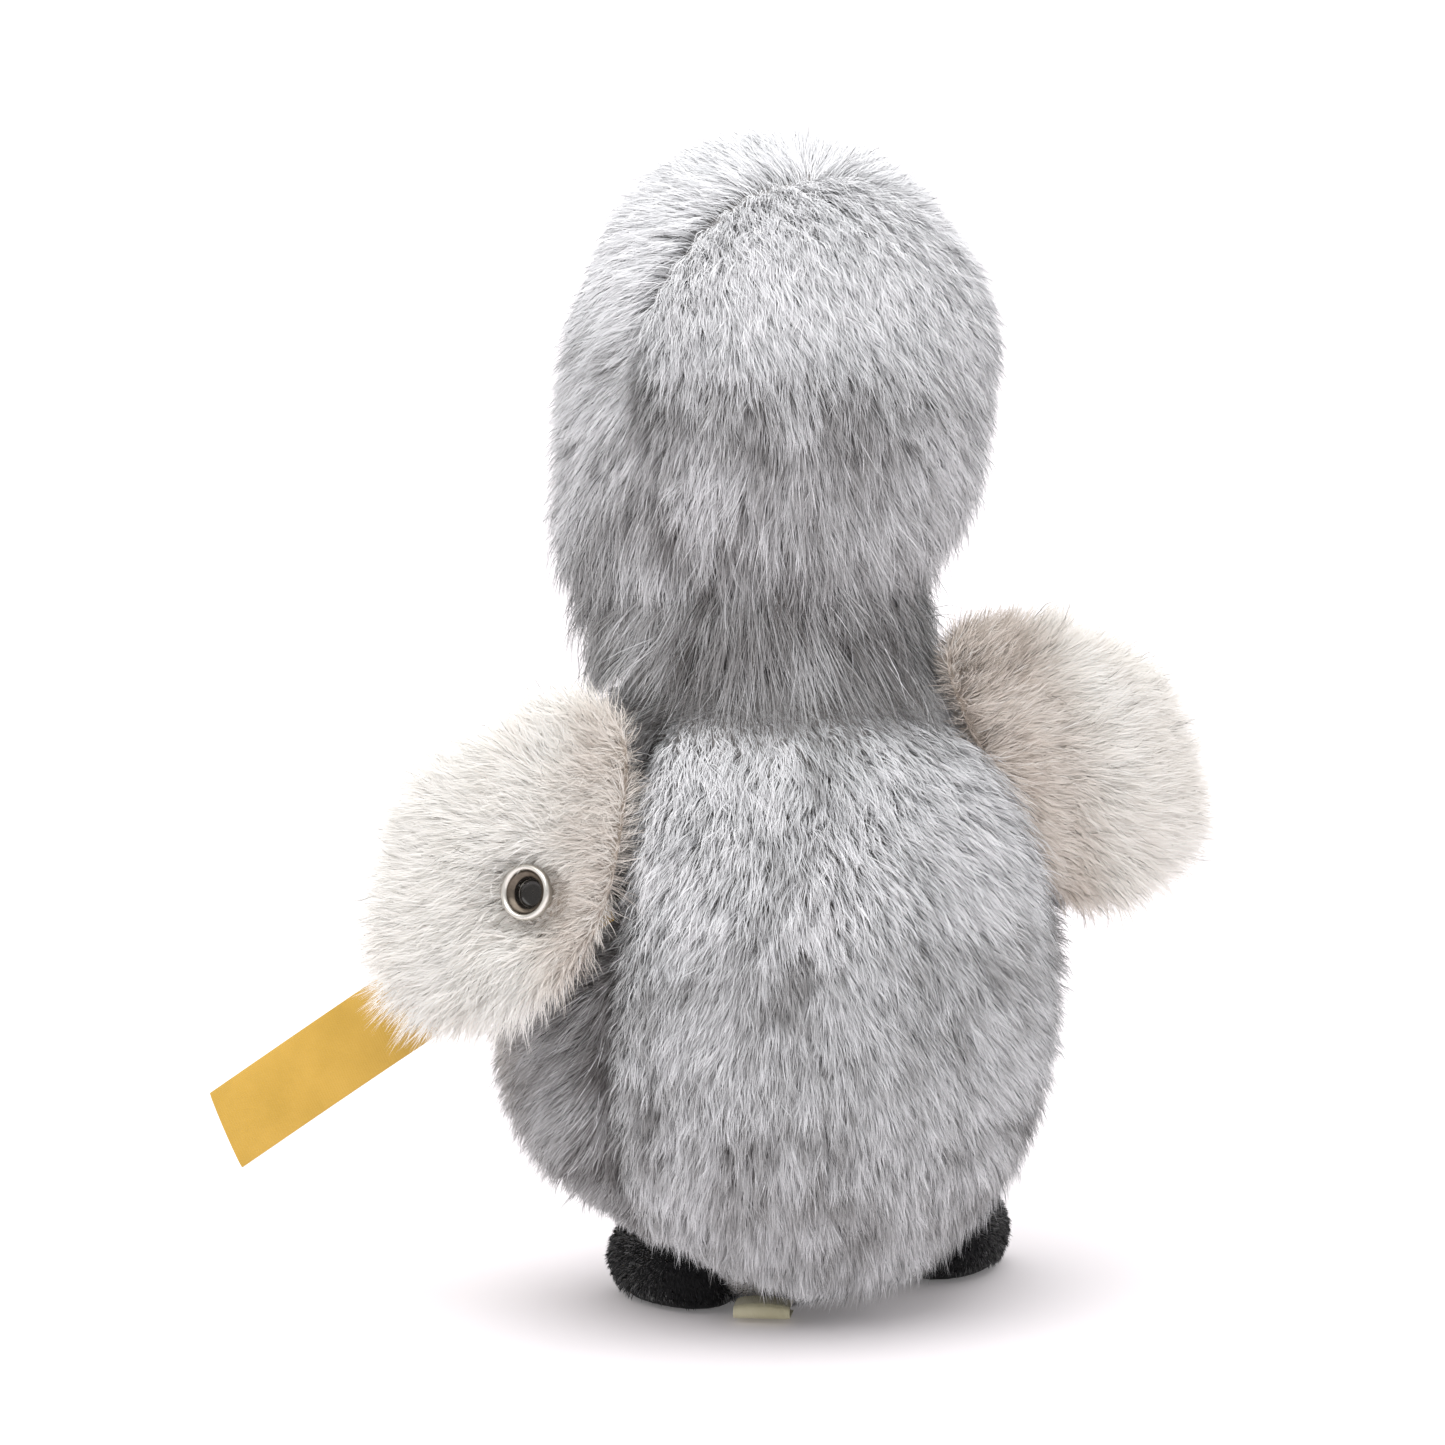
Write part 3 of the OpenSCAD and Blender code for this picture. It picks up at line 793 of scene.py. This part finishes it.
def from_rivet(p):
    """Distance of points from the rivet's axis."""
    return off_axis(p, np.array(RIVET_AT), np.array(RIVET_WAY))


def near_rivet(p, reach):
    """1 at the rivet's axis on its own side of the body, falling to 0 at reach."""
    return smoothstep((reach - from_rivet(p)) / (0.6 * reach)) * (p[:, 0] > 0)


coarse = body_form(4)
coarse_points = coarse[0]
seam_lines = (back_seam(coarse_points), front_seam(coarse_points), coarse_points[:, 2] - BASE_SEAM)
held = np.minimum.reduce([np.abs(distance) for distance in seam_lines])
held[(coarse_points[:, 2] < BASE_SEAM) | (coarse_points[:, 2] > BODY_CROWN - 5 * MM)] = 0
body_points, body_faces = body_form()
body_points = body_points + puffing(coarse, held, 1.0 * MM)(body_points)
dimple = DIMPLE * near_rivet(body_points, 11 * MM)
body_points = body_points - vertex_normals(body_points, body_faces) * dimple[:, None]
centres = body_points[body_faces].mean(axis=1)
heights = centres[:, 2]
in_base = heights < BASE_SEAM
in_back = (back_seam(centres) > 0) & ~in_base
in_belly = (front_seam(centres) > 0) & ~in_base
in_left = ~(in_base | in_back | in_belly) & (centres[:, 0] > 0)
in_right = ~(in_base | in_back | in_belly | in_left)


def shoulder_distance(p):
    """Distance from the nearer shoulder seam line."""
    frames = [flipper_frame(side) for side in ("left", "right")]
    return np.minimum(*[off_axis(p, origin, axis) for origin, _, _, axis in frames])


def body_length(full):
    """Pile length on the body: none on the pressed top, short under the flippers' roots and at the base."""
    def length(p):
        under_head = below(p, 75.5, 9) ** 0.8
        near = ramp(shoulder_distance(p), 1.5, 4)
        near = np.where(np.abs(p[:, 2] - 58 * MM) < 16 * MM, 0.25 + 0.75 * near, 1)
        foot = np.min([np.hypot(p[:, 0] - f[0], p[:, 1] - f[1]) for f in FOOT_PLACES.values()], axis=0)
        over_foot = ramp(foot, 15, 7)
        base = 0.26 + 0.74 * smoothstep((p[:, 2] - 8 * MM) / (16 * MM) + 0.85 * over_foot)
        seam = 1 - 0.5 * bell(back_seam(p), 2.2 * MM)
        rivet = 1 - 0.6 * near_rivet(p, 10 * MM) * (back_seam(p) < 0)
        return full * under_head * near * base * seam * rivet
    return length


def body_lay(p):
    """The pile lies flatter under the head's hem and under the flippers."""
    hem = above(p, 62, 9)
    side = ramp(np.abs(p[:, 0]), 17, 6) * ramp(-p[:, 1], -8, 6)
    flipper = side * above(p, 36, 6)
    return 20 * hem + 20 * flipper


def seam_way(p, middle_y):
    """Directions that lead straight away from a curved side seam, and how near the seam is, from 0 to 1."""
    way = np.stack([np.zeros(len(p)), p[:, 1] - middle_y, p[:, 2] - SEAM_LEVEL], axis=1)
    distance = np.linalg.norm(way, axis=1) - SEAM_RADIUS
    return unit(way), bell(distance, 5 * MM)[:, None]


def back_comb(p, n):
    way = downward(p, p[:, 0] / BODY_RADIUS * 0.45 - 0.12, 0.05)
    away, near = seam_way(p, BACK_SEAM - SEAM_RADIUS)
    return way + away * near * 0.8 + noise_vectors(p, 8 * MM, 71) * 0.3


def side_comb(p, n):
    way = downward(p, 0, -0.45)
    away, near = seam_way(p, BACK_SEAM - SEAM_RADIUS)
    return way - away * near * 0.9 + noise_vectors(p, 7 * MM, 73) * 0.28


BACK, SIDES = 5.1 * MM, 5.8 * MM  # pile lengths
sew("body", (body_points, body_faces), (
    ("back_skin", "body_back_panel", in_back, GREY),
    ("left_side_skin", "body_left_panel", in_left, GREY),
    ("right_side_skin", "body_right_panel", in_right, GREY),
    ("belly_skin", "belly_panel", in_belly, WHITE),
    ("base_skin", "base_gusset", in_base, GREY),
))


def back_tone(base):
    return body_tone(base, 0.55, 0.42, 11)


def base_comb(p, n):
    return n * (1, 1, 0) + noise_vectors(p, 5 * MM, 75) * 0.3


back_low, back_high = in_back & (heights < 29 * MM), in_back & (heights > 49 * MM)
back_mid = in_back & (np.abs(heights - 39 * MM) <= 10 * MM)
# The back's base tones rise from the low pile to the high one: painted light on the upper back, which faces
# the light from above.
grow("body", (body_points, body_faces), body_length, (
    ("back_fur_low", back_low, 36000, BACK, back_comb, back_tone(0.57), GREY, 101),
    ("back_fur_mid", back_mid, 39000, BACK, back_comb, back_tone(0.65), GREY, 106),
    ("back_fur_high", back_high, 36000, BACK, back_comb, back_tone(0.81), GREY, 102),
    ("base_fur", in_base, 9000, 3.2 * MM, base_comb, mottle(0.6, 0.4, 0.3, 13), GREY, 107),
    ("left_side_fur", in_left, 38000, SIDES, side_comb, body_tone(0.38, 0.45, 0.2, 23), GREY, 103),
    ("right_side_fur", in_right, 36000, SIDES, side_comb, body_tone(0.40, 0.45, 0.2, 29), GREY, 104),
    ("belly_fur", in_belly, 36000, 4.2 * MM, comb_to(0, 0, -1), mottle(0.8, 0.35, 0.2, 31), WHITE, 105),
), lay=body_lay)

filling = lumpy(*body_form(4), "body_fibre", 0.86, 7 * MM, 41)
dress(filling, "body", "fibre_fill", "body_stuffing")
neck_low, neck_high = low("neck_stuffing"), high("neck_stuffing")
ball, ball_faces = unit_ball(4)
neck_ball = (neck_low + neck_high) / 2 + ball * (neck_high - neck_low) / 2
neck = lumpy(neck_ball, ball_faces, "neck_fibre", 0.97, 5 * MM, 43)
dress(neck, "neck", "fibre_fill", "neck_stuffing")

# ---- Head ----
coarse = head_form(4)
held = np.minimum(np.abs(coarse[0][:, 1] - HEAD_SEAM), np.abs(mask_seam(coarse[0])))
held[coarse[0][:, 2] < NECK_TOP] = 0
head_points, head_faces = head_form()
head_points = head_points + puffing(coarse, held, 0.8 * MM)(head_points)
centres = head_points[head_faces].mean(axis=1)
in_mask = mask_seam(centres) < 0
in_back = centres[:, 1] > HEAD_SEAM
in_left = ~(in_mask | in_back) & (centres[:, 0] > 0)
in_right = ~(in_mask | in_back | in_left)


CROWN_LEVEL = 115 * MM  # a second pile thickens the fur above this level


def head_length(full):
    def length(p):
        hem = smoothstep((p[:, 2] - NECK_BOTTOM - 0.1 * MM) / (0.6 * MM))
        fall = 0.55 * below(p, 104, 12)
        fall = fall + 0.5 * below(p, 88, 6)
        fall = fall * (1 - 0.55 * ramp(-p[:, 0], 6, 10))
        return full * hem * (1 + fall - 0.12 * above(p, 114, 12))
    return length


def head_lay(p):
    """The pile lies flat round the neck and over the crown, and stands up at the parting."""
    neck = below(p, 104, 12)
    crown = above(p, 112, 14)
    parting = bell(p[:, 1] - HEAD_SEAM, 3.5 * MM)
    return 24 * neck + crown * (17 - 4 * parting)


def over_shoulders(p):
    """Pushes points out of the body's top, so that the hem of the head lies on it."""
    rise = (p[:, 2] - BODY_MIDDLE) / (BODY_UP + 1.0 * MM)
    girth = (BODY_RADIUS + 1.2 * MM) * np.sqrt(np.clip(1 - rise**2, 0, 1))
    far = np.linalg.norm(p[:, :2], axis=1)
    moved = p.copy()
    moved[:, :2] *= np.where(far < girth, girth / np.maximum(far, 1e-6), 1)[:, None]
    return moved


def head_root_shade(p):
    """Light comes through the pile over the crown, so its roots are as pale as its tips."""
    return 1 - 0.9 * above(p, 112, 10)


def head_back_comb(p, n):
    top = above(p, 100, 30)
    way = downward(p, p[:, 0] / CROWN_RADIUS * 0.3 - 0.12, 0.05 + 1.1 * top)
    return way + noise_vectors(p, 8 * MM, 81) * 0.28


def head_side_comb(p, n):
    """Away from the seam over the crown, and down the cheeks towards the neck."""
    top = above(p, 100, 30)
    way = downward(p, np.sign(p[:, 0]) * 0.2, -0.25 - 0.9 * top)
    return way + noise_vectors(p, 7 * MM, 83) * 0.28


sew("head", (head_points, head_faces), (
    ("head_back_skin", "head_back_panel", in_back, GREY),
    ("head_left_skin", "head_left_panel", in_left, GREY),
    ("head_right_skin", "head_right_panel", in_right, GREY),
    ("face_skin", "face_mask", in_mask, WHITE),
))

CROWN, HEAD, FACE = 4.6 * MM, 5.2 * MM, 1.8 * MM  # pile lengths
on_crown = centres[:, 2] > CROWN_LEVEL
crown_back, crown_front = in_back & on_crown, (in_left | in_right) & on_crown
grow("head", (head_points, head_faces), head_length, (
    ("crown_back_fur", crown_back, 17000, CROWN, head_back_comb, head_tone(0.54, 0.42, 51), GREY, 205),
    ("crown_front_fur", crown_front, 24000, CROWN, head_side_comb, head_tone(0.61, 0.30, 53), GREY, 206),
    ("head_back_fur", in_back, 38000, HEAD, head_back_comb, head_tone(0.54, 0.42, 51), GREY, 201),
    ("head_left_fur", in_left, 34000, HEAD, head_side_comb, head_tone(0.65, 0.26, 53), GREY, 202),
    ("head_right_fur", in_right, 34000, HEAD, head_side_comb, head_tone(0.59, 0.31, 57), GREY, 203),
    ("face_fur", in_mask, 20000, FACE, comb_to(0, 0, -1), mottle(0.85, 0.3, 0.15, 59), WHITE, 204),
), lay=head_lay, root_shade=head_root_shade, keep_off=over_shoulders)

filling = lumpy(*head_form(4), "head_fibre", 0.84, 6 * MM, 45)
dress(filling, "head", "fibre_fill", "head_stuffing")

# ---- Flippers ----
def add_flipper(side):
    """Two padded skins, their pile, and the fibre between them."""
    body = f"{side}_flipper"
    points, faces, own = flipper_form(side)
    origin, along, _, axis = flipper_frame(side)
    own_centres = own[faces].mean(axis=1)
    middle, _ = outline_reach(side, 0.0)

    def flipper_comb(p, n):
        q = p - origin
        x, z = q @ along + 14 * MM, q @ axis - middle[1]
        way = np.outer(x, along) + np.outer(z * 1.1, axis)
        return unit(way) - UP * 0.2 + noise_vectors(p, 4 * MM, 91) * 0.7

    def root_share(p):
        """1 at the shoulder seam, falling to 0 over the first 8 mm of the flipper."""
        return smoothstep(1 - ((p - origin) @ along) / (8 * MM))

    def flipper_tone(p):
        # Painted shade: the cream pile darkens towards the shoulder seam, where the flipper meets the body.
        return mottle(FLIPPER_TONES[side], 0.16, 0.26, 97)(p) - root_share(p) * 0.42

    def flipper_lay(p):
        return 10 * root_share(p)

    def flipper_length(full):
        """Cropped round the rivet, and short at the root."""
        def length(p):
            cut = np.ones(len(p))
            if side == "left":
                far = from_rivet(p)
                cut = np.where(far < 1.8 * MM, 0, 0.28 + 0.72 * ramp(far, 3.0, 3.6))
            return full * cut * (0.6 + 0.4 * ramp((p - origin) @ along, 0, 8))
        return length

    for face_name, keep, count, long, seed in (
        ("outer", own_centres[:, 1] > 0, 39000, 6.0 * MM, 306),
        ("inner", own_centres[:, 1] <= 0, 24000, 3.6 * MM, 341),
    ):
        node, form = f"{body}_{face_name}", part_of(points, faces, keep)
        skin = add_mesh(f"{node}_skin", *form, [CREAM_BACKING])
        dress(skin, body, "cream_plush", node)
        pile = fur(f"{node}_fur", form, count, flipper_length(long), flipper_comb, flipper_tone,
                   CREAM_TONES, seed, width=0.00008, lift=(8, 22, 36), clump=0.4, length_jitter=0.36,
                   wild=0.6, turn_spread=0.4, segment_tone=(-0.07, 0, 0.04), lay=flipper_lay)
        dress(pile, body, "cream_plush")
    filling = lumpy(points, faces, f"{body}_fibre", 0.72, 4 * MM, 47)
    dress(filling, body, "fibre_fill", f"{body}_stuffing")


for side in ("left", "right"):
    add_flipper(side)

# ---- Feet ----
SOLE_LEVEL = 1.2 * MM
for side in ("left", "right"):
    points, faces = foot_form(side)
    low_face = points[faces].mean(axis=1)[:, 2] < SOLE_LEVEL
    sew("body", (points, faces), (
        (f"{side}_foot_upper_skin", f"{side}_foot_upper", ~low_face, BLACK),
        (f"{side}_foot_sole_skin", f"{side}_foot_sole", low_face, BLACK),
    ))
    pile = fur(f"{side}_foot_pile", part_of(points, faces, ~low_face), 12000, 1.0 * MM, comb_to(0, 0.3, -0.4),
               mottle(0.5, 0.6, 0.2, 131), BLACK_TONES, 401, width=0.00014, lift=(12, 25, 40))
    dress(pile, "body", "black_velour")
    filling = lumpy(points, faces, f"{side}_foot_fibre", 0.75, 4 * MM, 49)
    dress(filling, "body", "fibre_fill", f"{side}_foot_stuffing")

# ---- Rivet and ribbon ----
NICKEL = hard_material("nickel", srgb(214, 210, 202), srgb(236, 233, 226), (0.22, 0.38), metallic=1.0)
# The rivet's hollow gets a dark glossy colour as painted shade inside the hole.
HOLLOW_PAINTED_SHADE = hard_material("hollow_painted_shade", srgb(16, 14, 12), srgb(44, 39, 34), (0.14, 0.26), scale=1800)
WORN_METAL = hard_material("worn_metal", srgb(78, 70, 62), srgb(134, 124, 112), (0.3, 0.5), 2600, 1.0)
EYE_GLOSS = hard_material("eye_gloss", srgb(6, 5, 5), srgb(14, 11, 10), (0.05, 0.09), bump=0.01)
WASHER_PLASTIC = hard_material("washer_plastic", srgb(222, 222, 218), srgb(238, 238, 235), (0.4, 0.55))


def local_frame(origin, x_way, z_way):
    """A matrix with its X and Z axes along the given directions."""
    y_way = z_way.cross(x_way)
    turn = Matrix((x_way, y_way, z_way)).transposed()
    return Matrix.Translation(origin) @ turn.to_4x4()


def quads_between(rings, size):
    """The faces between closed rings of vertices that follow each other."""
    turns = [(k, (k + 1) % size) for k in range(size)]
    starts = [(i * size, (i + 1) * size) for i in range(rings - 1)]
    return [(one + k, one + n, two + n, two + k) for one, two in starts for k, n in turns]


def lathe(name, profile, span_slots, materials, segments=96):
    """A turned piece about Z from (radius, height) points, with a material slot for each span."""
    rows = np.array(profile) * MM
    turn = np.arange(segments) * 2 * math.pi / segments
    radius, height = rows[:, 0], np.repeat(rows[:, 1:], segments, axis=1)
    x, y = np.outer(radius, np.cos(turn)), np.outer(radius, np.sin(turn))
    points = np.stack([x, y, height], axis=2).reshape(-1, 3)
    piece = add_mesh(name, points, quads_between(len(rows), segments), materials)
    piece.data.polygons.foreach_set("material_index", np.repeat(span_slots, segments).tolist())
    return piece


# Radius and height in millimetres: the hollow, the worn slope inside the head, the rolled rim, the shank
RIVET_PROFILE = (
    (0.02, 3.55), (0.8, 3.5), (1.3, 3.48), (1.6, 3.7), (1.72, 4.25), (1.84, 4.6), (2.0, 4.76), (2.22, 4.86),
    (2.42, 5.0), (2.52, 5.24), (2.64, 5.46), (2.8, 5.58), (2.98, 5.6), (3.14, 5.5), (3.25, 5.26), (3.27, 4.9),
    (3.2, 4.5), (3.05, 4.3), (2.7, 4.1), (1.8, 4.08), (1.62, 3.9), (1.6, -5.8), (1.15, -5.8), (1.15, 3.3),
    (0.02, 3.3),
)
# The spans of the hollow carry painted shade.
RIVET_SPANS = [1] * 5 + [2] * 4 + [0] * 15  # the dark hollow, the worn slope and plain nickel
rivet = lathe("rivet", RIVET_PROFILE, RIVET_SPANS, [NICKEL, HOLLOW_PAINTED_SHADE, WORN_METAL])
rivet.matrix_world = local_frame(RIVET_AT, RIVET_X, RIVET_WAY)
dress(rivet, "left_flipper", "rivet_metal", "rivet_button")

RIBBON_DROP = math.radians(39)
RIBBON_WIDTH, RIBBON_LENGTH, RIBBON_TAIL = 10 * MM, 58 * MM, 4 * MM
RIBBON_THICK = 0.34 * MM
along_ribbon = RIVET_X * math.cos(RIBBON_DROP) - SHOULDER_WAY * math.sin(RIBBON_DROP)
SATIN = satin_material("golden_satin", srgb(188, 148, 46), srgb(202, 160, 60))


def strip(name, width, thick, path, material, columns=72):
    """A woven strip whose middle follows path(share, y) in its X and Z; its edges are rounded selvedges."""
    across = 12
    shares = [-1 + 2 * k / across for k in range(across + 1)]
    rim = [(y, 1) for y in shares] + [(-y, -1) for y in shares]
    points = []
    for i in range(columns + 1):
        share = i / columns
        for y, face in rim:
            here = np.array(path(share, y))
            way = np.array(path(min(share + 0.002, 1), y)) - np.array(path(max(share - 0.002, 0), y))
            out = np.array([-way[1], way[0]]) / np.linalg.norm(way)
            selvedge = 1.0 + 0.5 * smoothstep((abs(y) - 0.86) / 0.08) * smoothstep((1.0 - abs(y)) / 0.04)
            x, z = here + out * face * thick / 2 * float(selvedge) * (0.55 if abs(y) > 0.99 else 1.0)
            points.append((x, y * width / 2, z))
    size = len(rim)
    faces = quads_between(columns + 1, size)
    faces.append(tuple(range(size - 1, -1, -1)))
    faces.append(tuple(range(columns * size, (columns + 1) * size)))
    piece = add_mesh(name, np.array(points), faces, [material])
    piece.data.set_sharp_from_angle(angle=math.radians(50))
    return piece


def ribbon_path(share, y):
    """A soft bow along the ribbon and a slight cup across its free end."""
    free = float(smoothstep((share - 0.25) / 0.75))
    bow = 0.9 * math.sin(share * 2.6) - 0.9 * share - free * 0.25 * y * y
    return share * RIBBON_LENGTH - RIBBON_TAIL, bow * MM


ribbon = strip("ribbon", RIBBON_WIDTH, RIBBON_THICK, ribbon_path, SATIN)
ribbon.matrix_world = local_frame(RIVET_AT - RIVET_WAY * RIBBON_LEVEL, along_ribbon, RIVET_WAY)
dress(ribbon, "ribbon", "ribbon_satin", "ribbon_tag")

# ---- Care label: a folded loop of plain tape under the back ----
LABEL_AT, LABEL_TURN = Vector((5, 7.5, 0.55)) * MM, math.radians(-28)
LABEL_WIDTH, LABEL_REACH, LABEL_LOOP = 6.6 * MM, 4.4 * MM, 0.6 * MM
LABEL_LEG, LABEL_FOLD = 0.35, 0.3  # shares of the tape in each straight leg and in the fold
LABEL_TAPE = satin_material("label_tape", srgb(190, 184, 150), srgb(214, 208, 178))


def label_path(share, y):
    """Out along the floor, round the fold and back, with the loop opened a little between its edges."""
    loop = LABEL_LOOP * (1 + 0.35 * (1 - y * y))
    straight = LABEL_REACH - loop
    if share < LABEL_LEG:
        return straight * share / LABEL_LEG, 0.2 * MM
    if share > 1 - LABEL_LEG:
        return straight * (1 - share) / LABEL_LEG, 0.2 * MM + 2 * loop
    a = math.pi * (share - LABEL_LEG) / LABEL_FOLD
    return straight + loop * math.sin(a), 0.2 * MM + loop * (1 - math.cos(a))


label = strip("label_loop", LABEL_WIDTH, 0.34 * MM, label_path, LABEL_TAPE, columns=40)
label_way = Vector((-math.sin(LABEL_TURN), math.cos(LABEL_TURN), 0))
label.matrix_world = local_frame(LABEL_AT, label_way, UP_WAY)
dress(label, "body", "label_tape", "care_label")


# ---- Beak ----
def beak_form(node, sign):
    """Half of a small plump beak: flat where the halves meet, round outside, with a drooping tip."""
    ball, faces = unit_ball(4)
    lowest, highest = low(node), high(node)
    middle, half = (lowest + highest) / 2, (highest - lowest) / 2
    reach = (1 - ball[:, 1]) / 2
    taper = 1 - 0.5 * reach
    seam = lowest[2] if sign > 0 else highest[2]
    rise = np.maximum(ball[:, 2] * sign, 0) * taper * half[2] * 1.9
    across, ahead = middle[0] + ball[:, 0] * half[0] * taper, middle[1] + ball[:, 1] * half[1]
    return np.stack([across, ahead, seam + sign * rise - 0.5 * MM * reach**2], axis=1), faces


for node, sign in (("beak_upper", 1), ("beak_lower", -1)):
    form = beak_form(node, sign)
    skin = add_mesh(f"{node}_skin", *form, [BLACK_BACKING])
    dress(skin, "head", "beak_velour", node)
    pile = fur(f"{node}_pile", form, 5000, 0.8 * MM, comb_to(0, -1, 0), mottle(0.6, 0.5, 0.2, 137),
               BLACK_TONES, 411, width=0.00012, lift=(14, 30, 50))
    dress(pile, "head", "beak_velour")

for node, material in (
    ("rivet_washer", NICKEL), ("left_eye", EYE_GLOSS), ("right_eye", EYE_GLOSS),
    ("left_eye_washer", WASHER_PLASTIC), ("right_eye_washer", WASHER_PLASTIC),
):
    data = frame["nodes"][node].data
    data.materials.clear()
    data.materials.append(material)

add_camera()
add_studio()
